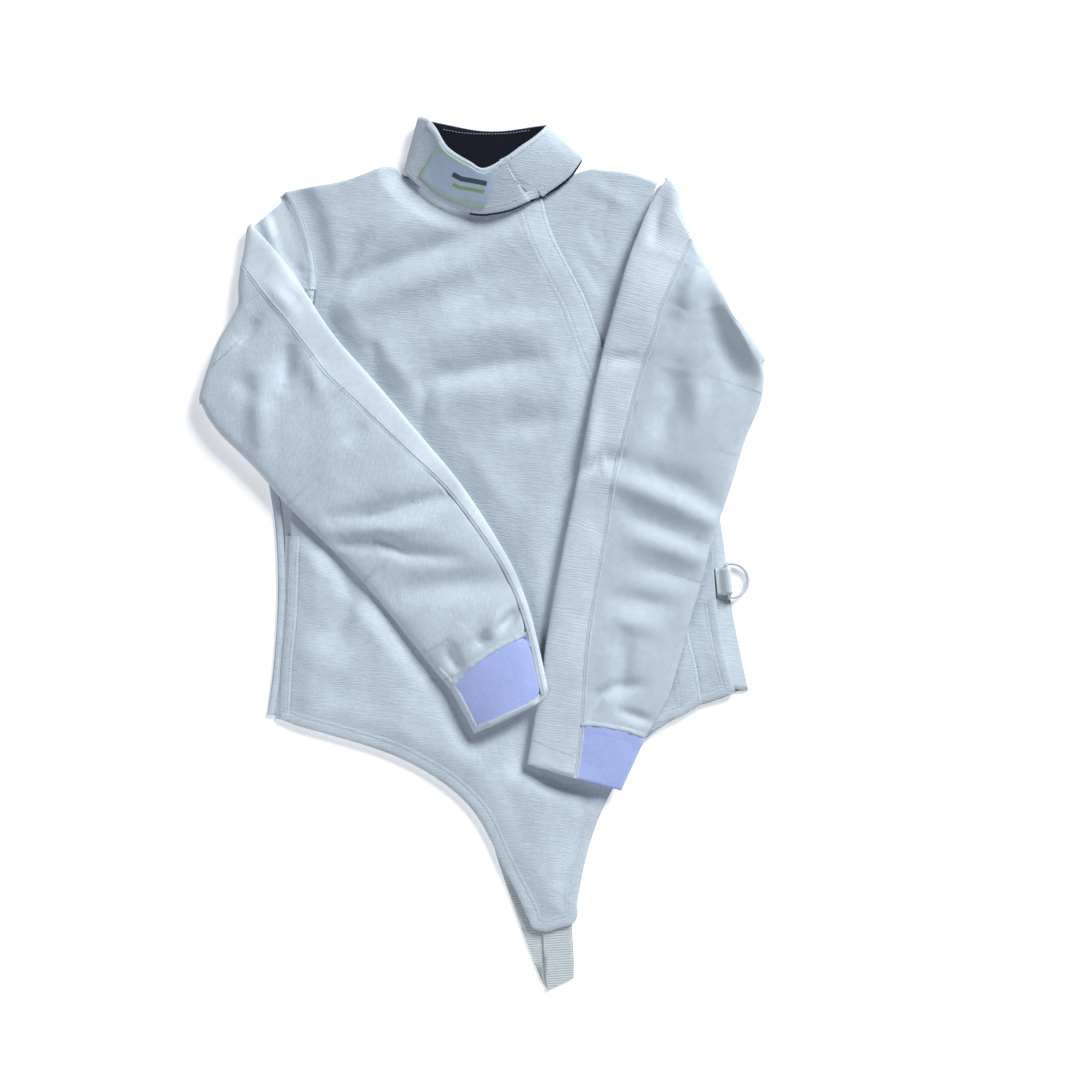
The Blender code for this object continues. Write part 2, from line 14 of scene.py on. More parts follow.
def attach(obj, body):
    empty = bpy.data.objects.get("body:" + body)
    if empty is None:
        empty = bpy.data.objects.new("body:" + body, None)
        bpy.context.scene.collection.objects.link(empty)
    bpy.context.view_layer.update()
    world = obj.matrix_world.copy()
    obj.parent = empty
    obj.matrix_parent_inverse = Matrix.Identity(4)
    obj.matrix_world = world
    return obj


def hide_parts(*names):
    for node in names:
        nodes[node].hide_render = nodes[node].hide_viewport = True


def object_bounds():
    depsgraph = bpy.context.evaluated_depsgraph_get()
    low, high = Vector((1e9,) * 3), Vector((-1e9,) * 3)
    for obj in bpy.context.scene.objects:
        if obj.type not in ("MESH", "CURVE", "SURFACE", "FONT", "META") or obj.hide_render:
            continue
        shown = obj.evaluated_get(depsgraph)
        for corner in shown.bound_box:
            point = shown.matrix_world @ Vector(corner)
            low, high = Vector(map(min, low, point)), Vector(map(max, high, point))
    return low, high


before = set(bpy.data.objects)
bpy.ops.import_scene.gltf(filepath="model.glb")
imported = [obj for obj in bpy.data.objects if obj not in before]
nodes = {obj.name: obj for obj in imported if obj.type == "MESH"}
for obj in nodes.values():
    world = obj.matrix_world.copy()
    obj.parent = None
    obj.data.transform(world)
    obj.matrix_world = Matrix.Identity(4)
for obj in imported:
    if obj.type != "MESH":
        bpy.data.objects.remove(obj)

cad_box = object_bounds()
MM = 0.001

# ---------------------------------------------------------------------------------
# The stage: a plain pale floor, a large soft window of light from the upper right of
# the jacket, pale sky all round, and a camera that looks straight down.

CAMERA_SPOT = (0.063, 0.015)
CAMERA_HEIGHT = 3.0
VIEW_ACROSS = 1.188
FLOOR_HALF = 4
FLOOR_GAP = 0.0004

floor_mesh = bmesh.new()
bmesh.ops.create_grid(floor_mesh, x_segments=1, y_segments=1, size=FLOOR_HALF)
bmesh.ops.translate(floor_mesh, verts=floor_mesh.verts, vec=(0, 0, cad_box[0].z - FLOOR_GAP))
floor_data = bpy.data.meshes.new("floor")
floor_mesh.to_mesh(floor_data)
floor_mesh.free()
floor = bpy.data.objects.new("floor", floor_data)
bpy.context.scene.collection.objects.link(floor)
paper = bpy.data.materials.new("pale_floor")
paper.use_nodes = True
paper_shader = paper.node_tree.nodes["Principled BSDF"]
paper_shader.inputs["Base Color"].default_value = (0.96, 0.965, 0.97, 1)
paper_shader.inputs["Roughness"].default_value = 0.95
paper_shader.inputs["Specular IOR Level"].default_value = 0.1
paper_shader.inputs["Emission Color"].default_value = (0.96, 0.98, 1.0, 1)
paper_shader.inputs["Emission Strength"].default_value = 0.28
floor_data.materials.append(paper)


def area_light(name, spot, size, watts, colour):
    """A square light at a spot, turned towards the middle of the jacket."""
    data = bpy.data.lights.new(name, "AREA")
    data.size = size
    data.energy = watts
    data.color = colour
    lamp = bpy.data.objects.new(name, data)
    lamp.location = spot
    lamp.rotation_euler = (-Vector(spot)).to_track_quat("-Z", "Y").to_euler()
    bpy.context.scene.collection.objects.link(lamp)


area_light("window", (6.4, 8.2, 5.2), 4.2, 1990, (0.975, 0.985, 1.0))
area_light("near_wall", (-1.2, -1.7, 1.4), 1.3, 31, (0.96, 0.97, 1.0))
sky = bpy.data.worlds.new("sky")
sky.use_nodes = True
sky.node_tree.nodes["Background"].inputs["Color"].default_value = (0.86, 0.93, 1.0, 1)
sky.node_tree.nodes["Background"].inputs["Strength"].default_value = 0.12
bpy.context.scene.world = sky
bpy.context.scene.view_settings.view_transform = "Standard"

camera_data = bpy.data.cameras.new("camera")
camera_data.sensor_width = 36
camera_data.lens = 36 * CAMERA_HEIGHT / VIEW_ACROSS
camera = bpy.data.objects.new("camera", camera_data)
camera.location = (*CAMERA_SPOT, CAMERA_HEIGHT)
bpy.context.scene.collection.objects.link(camera)
bpy.context.scene.camera = camera

# ---------------------------------------------------------------------------------
# Back: one piece of white padded cotton twill, flat on the surface, sewn to both fronts
# at the shoulders and sides. The first cloth section also holds what each cloth piece
# needs: its shell, its creases, its seams and its weave.

DOWN = Vector((0, 0, -1))
UP = Vector((0, 0, 1))
# In metres: where rays start, far from everything or just off a surface. In radians: the
# turn past which a node's edge is a cut edge.
OVER_ALL = 0.1
JUST_OFF = 0.0001
FOLDED = 0.9


def weld(node):
    """A node's mesh with its triangles welded and joined to quads."""
    mesh = bmesh.new()
    mesh.from_mesh(nodes[node].data)
    bmesh.ops.remove_doubles(mesh, verts=mesh.verts, dist=0.01 * MM)
    bmesh.ops.join_triangles(mesh, faces=mesh.faces, angle_face_threshold=0.7,
                             angle_shape_threshold=1.2)
    return mesh


def shell(name, node, levels, wall=2.0, longest=None):
    """A smooth cloth shell on a node's form, whose cut edges stay crisp. Edges over
    the longest are halved first, for creases to have somewhere to go."""
    mesh = weld(node)
    if longest:
        long_edges = [edge for edge in mesh.edges if edge.calc_length() > longest * MM]
        bmesh.ops.subdivide_edges(mesh, edges=long_edges, cuts=1, use_grid_fill=True)
    creases = mesh.edges.layers.float.new("crease_edge")
    for edge in mesh.edges:
        if len(edge.link_faces) != 2 or edge.calc_face_angle(0) < FOLDED:
            continue
        for face in edge.link_faces:
            short = min(side.calc_length() for side in face.edges)
            if abs(short - wall * MM) < 0.16 * wall * MM:
                edge[creases] = 1.0
    data = bpy.data.meshes.new(name)
    mesh.to_mesh(data)
    mesh.free()
    rough = bpy.data.objects.new(name + "_rough", data)
    bpy.context.scene.collection.objects.link(rough)
    smoother = rough.modifiers.new("smooth", "SUBSURF")
    smoother.levels = smoother.render_levels = levels
    graph = bpy.context.evaluated_depsgraph_get()
    fine = bpy.data.meshes.new_from_object(rough.evaluated_get(graph))
    bpy.data.objects.remove(rough)
    fine.name = name
    fine.materials.clear()
    piece = bpy.data.objects.new(name, fine)
    bpy.context.scene.collection.objects.link(piece)
    fine.shade_smooth()
    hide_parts(node)
    return piece


def points_of(piece):
    flat = np.empty(len(piece.data.vertices) * 3, np.float32)
    piece.data.vertices.foreach_get("co", flat)
    return flat.reshape(-1, 3).astype(float)


def put_points(piece, points):
    piece.data.vertices.foreach_set("co", points.astype(np.float32).ravel())
    piece.data.update()


def skin(*pieces):
    """One tree of surfaces to drop points on."""
    mesh = bmesh.new()
    for piece in pieces:
        mesh.from_mesh(piece.data)
    tree = BVHTree.FromBMesh(mesh)
    mesh.free()
    return tree


def ease(share):
    """A smooth step from 0 to 1."""
    share = np.clip(share, 0, 1)
    return share * share * (3 - 2 * share)


def along_path(x, y, path):
    """Distance to a path, and how far along it the nearest place is, from 0 to 1."""
    path = np.array(path, float)
    steps = np.linalg.norm(np.diff(path, axis=0), axis=1)
    marks = np.concatenate([[0], np.cumsum(steps)]) / steps.sum()
    best = np.full_like(x, 1e9)
    share = np.zeros_like(x)
    for a, b, start, end in zip(path[:-1], path[1:], marks[:-1], marks[1:]):
        run = b - a
        t = np.clip(((x - a[0]) * run[0] + (y - a[1]) * run[1]) / (run @ run), 0, 1)
        away = np.hypot(x - a[0] - t * run[0], y - a[1] - t * run[1])
        nearer = away < best
        best = np.where(nearer, away, best)
        share = np.where(nearer, start + t * (end - start), share)
    return best, share


def crease_relief(x, y, table):
    """Rise of cloth over its folds, in metres, at places given in millimetres. Each
    row has a half width, a rise, and the points of a fold, which fades at its ends."""
    rise = np.zeros_like(x)
    for width, height, *path in table:
        away, share = along_path(x, y, path)
        fade = np.sin(np.pi * np.clip(0.06 + 0.88 * share, 0, 1)) ** 0.6
        rise += height * MM * fade * np.exp(-(away / width) ** 2)
    return rise


def ripple(x, y, size, seed):
    """Slow uneven swell of cloth that has been worn and folded, from -1 to 1."""
    return np.array([noise.noise(Vector((a / size, b / size, seed))) for a, b in zip(x, y)])


def uneven(x, y, seed):
    """Swell of two sizes, broad and small, from about -1 to 1."""
    return (1.3 * ripple(x, y, 78, seed) + 0.5 * ripple(x, y, 34, seed + 5)
            + 0.16 * ripple(x, y, 13, seed + 9))


def room(points, tree, up):
    """Free height above or below each point, to the surfaces in a tree."""
    way = UP if up else DOWN
    found = np.full(len(points), 1.0)
    for number, point in enumerate(points):
        hit = tree.ray_cast(Vector(point) + way * JUST_OFF, way, 0.5 * OVER_ALL)
        if hit[0] is not None:
            found[number] = hit[3] + JUST_OFF
    return found


def nearness(points, tree):
    """Distance from each point to the nearest surface in a tree, in millimetres."""
    return np.array([tree.find_nearest(Vector(point))[3] for point in points]) / MM


def curve_through(path, step):
    """Evenly spaced places on a smooth curve through a path, in millimetres, and the
    unit direction to the left of each."""
    path = np.array(path, float)
    held = np.vstack([2 * path[0] - path[1], path, 2 * path[-1] - path[-2]])
    fine = []
    t = np.linspace(0, 1, 24, endpoint=False)[:, None]
    for a, b, c, d in zip(held[:-3], held[1:-2], held[2:-1], held[3:]):
        fine.append(0.5 * (2 * b + (c - a) * t + (2 * a - 5 * b + 4 * c - d) * t ** 2
                           + (3 * b - a - 3 * c + d) * t ** 3))
    fine = np.vstack(fine + [path[-1:]])
    marks = np.concatenate([[0], np.cumsum(np.linalg.norm(np.diff(fine, axis=0), axis=1))])
    even = np.linspace(0, marks[-1], max(round(marks[-1] / step), 2) + 1)
    spots = np.column_stack([np.interp(even, marks, fine[:, k]) for k in (0, 1)])
    ahead = np.gradient(spots, axis=0)
    ahead /= np.linalg.norm(ahead, axis=1)[:, None]
    return spots, np.column_stack([-ahead[:, 1], ahead[:, 0]])


def drop(tree, x, y, reach=1.1):
    """Height of the cloth at a place in millimetres. Over a seam's gap it is the
    height of the cloth beside it."""
    best = None
    for dx, dy in ((0, 0), (reach, 0), (-reach, 0), (0, reach), (0, -reach)):
        hit = tree.ray_cast(Vector(((x + dx) * MM, (y + dy) * MM, OVER_ALL)), DOWN)
        if hit[0] is not None and (best is None or hit[0].z > best):
            best = hit[0].z
    return best


TAPE_STEP = 2.5


def tape(name, path, profile, tree, finish, inset=1.5, pucker=0.35):
    """A raised band of cloth along a path. Each row of its profile has an offset to
    the path's left and a height, in millimetres; it puckers a little as sewing does."""
    spots, left = curve_through(path, TAPE_STEP)
    mesh = bmesh.new()
    bmesh.ops.create_grid(mesh, x_segments=len(profile) - 1, y_segments=len(spots) - 1, size=1)
    sign = np.sign(profile[-1][0] - profile[0][0])
    heights = np.zeros((len(spots), len(profile)))
    for row in range(len(spots)):
        for column, (offset, _) in enumerate(profile):
            held = offset if inset is None else math.copysign(max(abs(offset), inset), sign)
            x, y = spots[row] + left[row] * held
            found = drop(tree, x, y)
            heights[row, column] = heights[row - 1, column] if found is None else found
    for _ in range(2):
        heights[1:-1] = (heights[:-2] + 2 * heights[1:-1] + heights[2:]) / 4
    for vertex in mesh.verts:
        column = round((vertex.co.x + 1) / 2 * (len(profile) - 1))
        row = round((vertex.co.y + 1) / 2 * (len(spots) - 1))
        offset, height = profile[column]
        x, y = spots[row] + left[row] * offset
        if height > 0:
            height *= 1 + pucker * noise.noise(Vector((x / 5, y / 5, len(name))))
        vertex.co = Vector((x, y, height)) * MM + Vector((0, 0, heights[row, column]))
    if sign > 0:
        bmesh.ops.reverse_faces(mesh, faces=mesh.faces)
    data = bpy.data.meshes.new(name)
    mesh.to_mesh(data)
    mesh.free()
    band = bpy.data.objects.new(name, data)
    bpy.context.scene.collection.objects.link(band)
    data.shade_smooth()
    data.materials.append(finish)
    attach(band, "jacket")
    return band


# A stitch's half length, as a share of the pitch, and its half width and height in mm.
STITCH = (0.40, 0.34, 0.30)


def stitches(name, rows, tree, pitch=3.3, lift=0.1):
    """Lockstitch thread along rows, each a path and an offset to its left."""
    mesh = bmesh.new()
    for path, offset in rows:
        spots, left = curve_through(path, pitch)
        places = [Vector((*(spot + side * offset), 0)) * MM for spot, side in zip(spots, left)]
        for place in places:
            place.z = drop(tree, place.x / MM, place.y / MM, 0.4) or 0.0
        for a, b in zip(places[:-1], places[1:]):
            ahead = b - a
            if ahead.length > 2 * pitch * MM or min(a.z, b.z) <= 0:
                continue
            turn = ahead.to_track_quat("X", "Z").to_matrix().to_4x4()
            size = Matrix.Diagonal((STITCH[0] * pitch, *STITCH[1:], 1))
            middle = Matrix.Translation((a + b) / 2 + Vector((0, 0, lift * MM)))
            bmesh.ops.create_uvsphere(mesh, u_segments=6, v_segments=4, radius=MM,
                                      matrix=middle @ turn @ size)
    data = bpy.data.meshes.new(name)
    mesh.to_mesh(data)
    mesh.free()
    thread = bpy.data.objects.new(name, data)
    bpy.context.scene.collection.objects.link(thread)
    data.shade_smooth()
    data.materials.append(white_thread)
    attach(thread, "jacket")
    return thread


# Sections of sewn edges: offset inwards from the edge or seam line, and height, in mm.
HEM = [(0.0, -0.9), (0.3, -0.1), (1.2, 0.5), (4.5, 0.75), (8.0, 0.7), (9.6, 0.45), (10.4, 0.02),
       (11.2, 0.4), (12.6, 0.22), (14.5, -0.25)]
SEAM = [(-2.4, -0.25), (-1.4, 0.3), (-0.6, 0.42), (0.0, 0.0), (0.6, 0.45), (2.4, 0.62), (4.8, 0.5),
        (5.7, 0.05), (6.5, 0.35), (8.2, -0.25)]
WELT = [(-2.0, -0.25), (-1.0, 0.28), (-0.1, 0.34), (0.4, 0.05), (1.0, 0.4), (2.6, 0.42), (4.0, -0.25)]


def effect(name, inputs, outputs):
    """A node group with named inputs (name, kind, value) and outputs."""
    tree = bpy.data.node_groups.new(name, "ShaderNodeTree")
    for label, kind, value in inputs:
        made = tree.interface.new_socket(label, in_out="INPUT", socket_type=kind)
        if value is not None:
            made.default_value = value
    for label, kind in outputs:
        tree.interface.new_socket(label, in_out="OUTPUT", socket_type=kind)
    return tree, tree.nodes.new("NodeGroupInput"), tree.nodes.new("NodeGroupOutput")


def node(tree, kind, links=None, **settings):
    """A node with its settings, its inputs either linked from sockets or set."""
    made = tree.nodes.new(kind)
    for key, value in settings.items():
        setattr(made, key, value)
    for key, value in (links or {}).items():
        socket = made.inputs[key]
        if isinstance(value, bpy.types.NodeSocket):
            tree.links.new(value, socket)
        else:
            socket.default_value = value
    return made


def maths(tree, operation, first, second=0.0, third=0.0):
    return node(tree, "ShaderNodeMath", {0: first, 1: second, 2: third},
                operation=operation).outputs[0]


# Rows of uneven threads: a wavy rib with thick and thin places, turned to any angle.
ribs, ribs_in, ribs_out = effect("thread_rows", [
    ("Place", "NodeSocketVector", None), ("Spacing", "NodeSocketFloat", 0.002),
    ("Turn", "NodeSocketFloat", 0.0), ("Waviness", "NodeSocketFloat", 0.4),
    ("Slub", "NodeSocketFloat", 0.5)], [("Height", "NodeSocketFloat"), ("Slubs", "NodeSocketFloat")])
turned = node(ribs, "ShaderNodeVectorRotate", {"Vector": ribs_in.outputs["Place"],
              "Angle": ribs_in.outputs["Turn"]}, rotation_type="Z_AXIS").outputs[0]
per_row = maths(ribs, "DIVIDE", 1.0, ribs_in.outputs["Spacing"])
rows = node(ribs, "ShaderNodeVectorMath", {0: turned, "Scale": per_row},
            operation="SCALE").outputs[0]
wander = node(ribs, "ShaderNodeTexNoise", {"Vector": rows, "Scale": 0.16, "Detail": 2.0})
stretched = node(ribs, "ShaderNodeMapping", {"Vector": rows, "Scale": (0.07, 1.0, 1.0)}).outputs[0]
lumps = node(ribs, "ShaderNodeTexNoise", {"Vector": stretched, "Scale": 1.0, "Detail": 2.0})
row_part = node(ribs, "ShaderNodeSeparateXYZ", {0: rows})
wave = maths(ribs, "MULTIPLY_ADD", wander.outputs["Fac"],
             maths(ribs, "MULTIPLY", ribs_in.outputs["Waviness"], 6.0), row_part.outputs["Y"])
row_wave = maths(ribs, "SINE", maths(ribs, "MULTIPLY", wave, 2 * math.pi))
slub = maths(ribs, "SUBTRACT", lumps.outputs["Fac"], 0.5)
slub_part = maths(ribs, "MULTIPLY", slub, maths(ribs, "MULTIPLY", ribs_in.outputs["Slub"], 4.0))
height = maths(ribs, "MULTIPLY_ADD", row_wave, 0.5, slub_part)
ribs.links.new(height, ribs_out.inputs["Height"])
ribs.links.new(slub_part, ribs_out.inputs["Slubs"])

# Handling marks: slow uneven greying, as cotton has after some wear, and painted shade:
# the Shade input lightens the tops of the thread rows and darkens their valleys.
worn, worn_in, worn_out = effect("handling_and_painted_shade", [
    ("Place", "NodeSocketVector", None), ("Colour", "NodeSocketColor", (0.5, 0.5, 0.5, 1)),
    ("Amount", "NodeSocketFloat", 0.1), ("Shade", "NodeSocketFloat", 0.0)],
    [("Colour", "NodeSocketColor"), ("Mask", "NodeSocketFloat")])
broad = node(worn, "ShaderNodeTexNoise", {"Vector": worn_in.outputs["Place"], "Scale": 16.0,
             "Detail": 3.0, "Roughness": 0.6}).outputs["Fac"]
close = node(worn, "ShaderNodeTexNoise", {"Vector": worn_in.outputs["Place"], "Scale": 150.0,
             "Detail": 3.0, "Roughness": 0.7}).outputs["Fac"]
mixed = maths(worn, "MULTIPLY_ADD", close, 0.7, broad)
mask = maths(worn, "SUBTRACT", mixed, 0.85)
dark = maths(worn, "MULTIPLY_ADD", mask, worn_in.outputs["Amount"], 1.0)
# Painted shade and highlight: the thread rows' height darkens their valleys and lightens their tops.
wear_and_painted_shade = maths(worn, "MULTIPLY_ADD", worn_in.outputs["Shade"], 0.035, dark)
toned = node(worn, "ShaderNodeVectorMath", {0: worn_in.outputs["Colour"], "Scale": wear_and_painted_shade},
             operation="SCALE").outputs[0]
worn.links.new(toned, worn_out.inputs["Colour"])
worn.links.new(mask, worn_out.inputs["Mask"])


def cloth(name, colour, roughness, rows_of, place="Object", depth=0.35, wear=0.35, sheen=0.25):
    """A woven or knitted cloth: rows of threads, each row a spacing, turn, waviness
    and slub, over a base colour with uneven greying from wear, and painted shade that
    follows the height of the rows."""
    made = bpy.data.materials.new(name)
    made.use_nodes = True
    tree = made.node_tree
    shader = tree.nodes["Principled BSDF"]
    if place == "Object":
        spot = tree.nodes.new("ShaderNodeTexCoord").outputs["Object"]
    else:
        spot = node(tree, "ShaderNodeUVMap", uv_map=place).outputs[0]
    total = None
    slubs = None
    for spacing, turn, waviness, lumpy, weight in rows_of:
        threads = node(tree, "ShaderNodeGroup", node_tree=ribs)
        tree.links.new(spot, threads.inputs["Place"])
        threads.inputs["Spacing"].default_value = spacing * MM
        threads.inputs["Turn"].default_value = math.radians(turn)
        threads.inputs["Waviness"].default_value = waviness
        threads.inputs["Slub"].default_value = lumpy
        part = maths(tree, "MULTIPLY", threads.outputs["Height"], weight)
        total = part if total is None else maths(tree, "ADD", total, part)
        slubs = threads.outputs["Slubs"] if slubs is None else slubs
    marks = node(tree, "ShaderNodeGroup", node_tree=worn, name="handling_and_painted_shade")
    tree.links.new(spot, marks.inputs["Place"])
    marks.inputs["Colour"].default_value = (*colour, 1)
    marks.inputs["Amount"].default_value = wear
    # The rows' height also goes into the colour: painted shade in their valleys, painted highlight on
    # their tops.
    tree.links.new(total, marks.inputs["Shade"])
    tree.links.new(marks.outputs["Colour"], shader.inputs["Base Color"])
    rough = maths(tree, "MULTIPLY_ADD", slubs, 0.08, roughness)
    tree.links.new(rough, shader.inputs["Roughness"])
    bump = node(tree, "ShaderNodeBump", {"Height": total, "Distance": depth * MM, "Strength": 1.0})
    tree.links.new(bump.outputs[0], shader.inputs["Normal"])
    shader.inputs["Sheen Weight"].default_value = sheen
    shader.inputs["Sheen Roughness"].default_value = 0.5
    shader.inputs["Specular IOR Level"].default_value = 0.25
    return made


WHITE = (0.53, 0.615, 0.70)
body_cloth = cloth("white_body_cloth", WHITE, 0.66,
                   [(1.7, 6, 0.8, 0.9, 1.0), (0.9, 94, 0.3, 0.4, 0.6)], depth=0.13)
white_thread = cloth("white_thread", (0.60, 0.67, 0.73), 0.55, [(0.5, 30, 0.1, 0.2, 1.0)],
                     depth=0.08, wear=0.1)
back = shell("back_cloth", "back_panel", 2)
back.data.materials.append(body_cloth)
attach(back, "jacket")
back_skin = skin(back)
BACK_EDGE = [(-236, 79), (-229, 44), (-226, 4), (-225, -51), (-230, -128), (-237, -177)]
back_trim = [tape("back_side_hem", BACK_EDGE, HEM[:5], back_skin, body_cloth),
             stitches("back_hem_stitches", [([(-233, -158), (-212, -161)], 0)], back_skin)]

# ---------------------------------------------------------------------------------
# Left front: the same twill, sewn to the back, and running under the right front. It
# shows at the upper chest beside the collar, and at the hip beside the ring.

UNDER_CREASES = [
    (10, -2.4, (96, 330), (130, 300), (150, 285)),
    (9, -2.2, (140, 400), (122, 360), (134, 330)),
    (9, 2.0, (110, 410), (160, 380)),
    (8, -1.4, (245, -60), (262, -110)),
]
UNDER_HEM = [(234, -135), (252, -133), (270, -131), (284, -129)]


# In millimetres: how far a panel stays flat beside what lies on it, the width over which
# it then rises, the width that a sewn edge holds down, and the gap kept between pieces.
HELD_BESIDE = 3.5
EASED_BESIDE = 26
EASED_EDGE = 34
KEPT_GAP = 0.15
PANEL_WALL = 2.0
PANEL_FOOT = 2.3


def crumple(piece, creases, swell, seed, below, above, edges=(), loft=0.0):
    """Moves a flat-lying panel's two faces together over its folds, swell and loft,
    never into what lies under it or over it, and keeps its sewn edges down."""
    points = points_of(piece)
    x, y = points[:, 0] / MM, points[:, 1] / MM
    free = ease((nearness(points, above) - HELD_BESIDE) / EASED_BESIDE)
    for edge in edges:
        free *= 0.12 + 0.88 * ease(along_path(x, y, edge)[0] / EASED_EDGE)
    top = np.array([vertex.normal.z for vertex in piece.data.vertices]) > 0
    uphill = points[:, 2] - np.where(top, PANEL_FOOT + PANEL_WALL, PANEL_FOOT) * MM
    rise = (loft * MM - 0.85 * uphill + swell * MM * uneven(x, y, seed)) * free
    rise += crease_relief(x, y, creases) * (0.25 + 0.75 * free)
    down = room(points, below, False) - np.where(top, PANEL_WALL, 0) * MM - KEPT_GAP * MM
    upward = room(points, above, True) - np.where(top, 0, PANEL_WALL) * MM - KEPT_GAP * MM
    points[:, 2] += np.clip(rise, -np.maximum(down, 0), np.maximum(upward, 0))
    put_points(piece, points)


SLEEVE_NODES = [side + part for side in ("right", "left")
                for part in ("_sleeve_front", "_sleeve_back", "_cuff")]
under = shell("left_front_cloth", "left_front", 3)
under.data.materials.append(body_cloth)
crumple(under, UNDER_CREASES, 0.6, 3.0, skin(back),
        skin(nodes["front_panel"], nodes["collar"], nodes["collar_lining"],
             *[nodes[name] for name in SLEEVE_NODES]), loft=0.8)
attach(under, "jacket")
under_skin = skin(under)
UNDER_FOOT = [(241, -166), (278, -153)]
UNDER_SIDE = [(278, -153), (272, -133), (263, -95), (256, -51)]
under_trim = [tape("left_front_hem", UNDER_FOOT, HEM, under_skin, body_cloth),
              tape("left_front_side_hem", UNDER_SIDE, HEM, under_skin, body_cloth),
              stitches("left_front_stitches", [(UNDER_HEM, 0), (UNDER_FOOT, 10.4),
                                               (UNDER_SIDE, 10.4)], under_skin)]

# ---------------------------------------------------------------------------------
# Right front: the largest twill panel, from the neck down into the tail. Its closing
# edge runs from the neck to the wearer's left hip, over the left front. It is sewn to
# the sleeve at the armhole, and its hem and tail are turned under and stitched.

FRONT_CREASES = [
    # half width, rise, and the points of each fold
    (9, -6.0, (-182, 276), (-157, 307), (-133, 343)),
    (12, -7.6, (-177, 266), (-151, 293), (-113, 312), (-69, 329), (-25, 345), (19, 365)),
    (19, -6.4, (-47, 279), (-3, 290), (19, 307), (41, 329)),
    (12, -7.6, (-63, 186), (-47, 194), (-3, 202), (41, 211), (63, 213)),
    (10, -4.7, (-63, 186), (-69, 134)),
    (13, -3.1, (19, 139), (85, 147)),
    (8, -4.2, (-182, 276), (-177, 264)),
    (8, -4.2, (-133, 208), (-121, 224), (-117, 197)),
    (9, -4.7, (-80, 153), (-67, 131)),
    (16, -2.9, (36, 59), (30, -7)),
    (13, -6.6, (-146, -18), (-144, -51), (-162, -84), (-184, -95)),
    (10, -3.4, (-190, -172), (-168, -161), (-151, -139)),
    (16, 6.0, (-160, 262), (-110, 285), (-50, 303), (0, 330)),
    (17, 3.9, (-120, 345), (-90, 362), (-30, 372)),
    (18, 5.4, (-60, 232), (0, 244), (60, 250)),
    (16, 3.6, (-40, 168), (10, 176), (70, 180)),
    (14, 3.1, (-95, 180), (-100, 215)),
    (20, 2.9, (-120, -60), (-100, -150)),
    (18, 2.3, (60, -240), (66, -340)),
    (14, -2.3, (20, -230), (44, -330)),
    (16, 2.6, (-190, -110), (-150, -130)),
    (12, -2.1, (-60, -150), (-20, -210)),
]
FRONT_ARMHOLE = [(-216, 397), (-201, 373), (-192, 348), (-185, 318), (-184, 285), (-197, 235)]
CLOSING_EDGE = [(64, 397), (74, 356), (96, 312), (113, 279), (130, 233), (173, 125), (212, -7),
                (226, -90), (234, -122), (241, -165)]
SIDE_EDGE = [(-211, 20), (-212, -7), (-214, -62), (-219, -122), (-222, -182)]
FRONT_HEM = [(-222, -182), (-201, -190), (-157, -202), (-102, -219), (-69, -235), (-41, -252),
             (-19, -271), (-3, -290), (8, -312), (19, -337), (36, -370), (47, -392), (54, -410),
             (69, -415), (85, -411), (98, -407), (104, -398), (104, -381), (107, -359),
             (113, -337), (120, -309), (129, -284), (142, -259), (162, -223), (190, -190),
             (217, -179), (241, -165)]
front = shell("front_cloth", "front_panel", 3)
front.data.materials.append(body_cloth)
crumple(front, FRONT_CREASES, 2.2, 7.0, skin(back, under, nodes["crotch_strap"]),
        skin(nodes["collar"], nodes["collar_lining"], *[nodes[name] for name in SLEEVE_NODES]),
        [FRONT_ARMHOLE, CLOSING_EDGE, SIDE_EDGE, FRONT_HEM], 7.5)
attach(front, "jacket")
front_skin = skin(front)
FACING = [(-offset, height) for offset, height in
          [(0.0, -0.9), (0.3, -0.1), (1.2, 0.35), (12, 0.3), (20, 0.3), (21.6, 0.25), (22.2, 0.0),
           (22.8, 0.2), (26.0, 0.25), (27.0, 0.0), (27.8, 0.15), (29.5, -0.2)]]
front_trim = [
    tape("front_hem_turning", FRONT_HEM, HEM, front_skin, body_cloth),
    tape("front_side_hem", SIDE_EDGE, HEM[:8], front_skin, body_cloth),
    tape("closing_edge_facing", CLOSING_EDGE, FACING, front_skin, body_cloth),
]
SIDE_SEAM = [(1.2, -0.3), (0.4, 0.3), (-0.6, -0.3), (-2.4, 1.0), (-4.5, 0.4), (-6.5, -0.25)]
front_trim.append(tape("right_side_seam", SIDE_EDGE, SIDE_SEAM, skin(front, back), body_cloth,
                       None))
front_trim.append(stitches("front_stitches", [
    (FRONT_HEM, 10.4), (SIDE_EDGE, 7.5), (CLOSING_EDGE, -22.2), (CLOSING_EDGE, -27.0),
    (CLOSING_EDGE, -2.6)], skin(front, *front_trim)))

# ---------------------------------------------------------------------------------
# Sleeves: two-piece twill tubes that leave the armholes outwards and fold back over
# the front. The back piece shows, gathered into a lilac knitted cuff, with a strip of
# the front piece along the upper edge. A felled seam joins the two pieces.

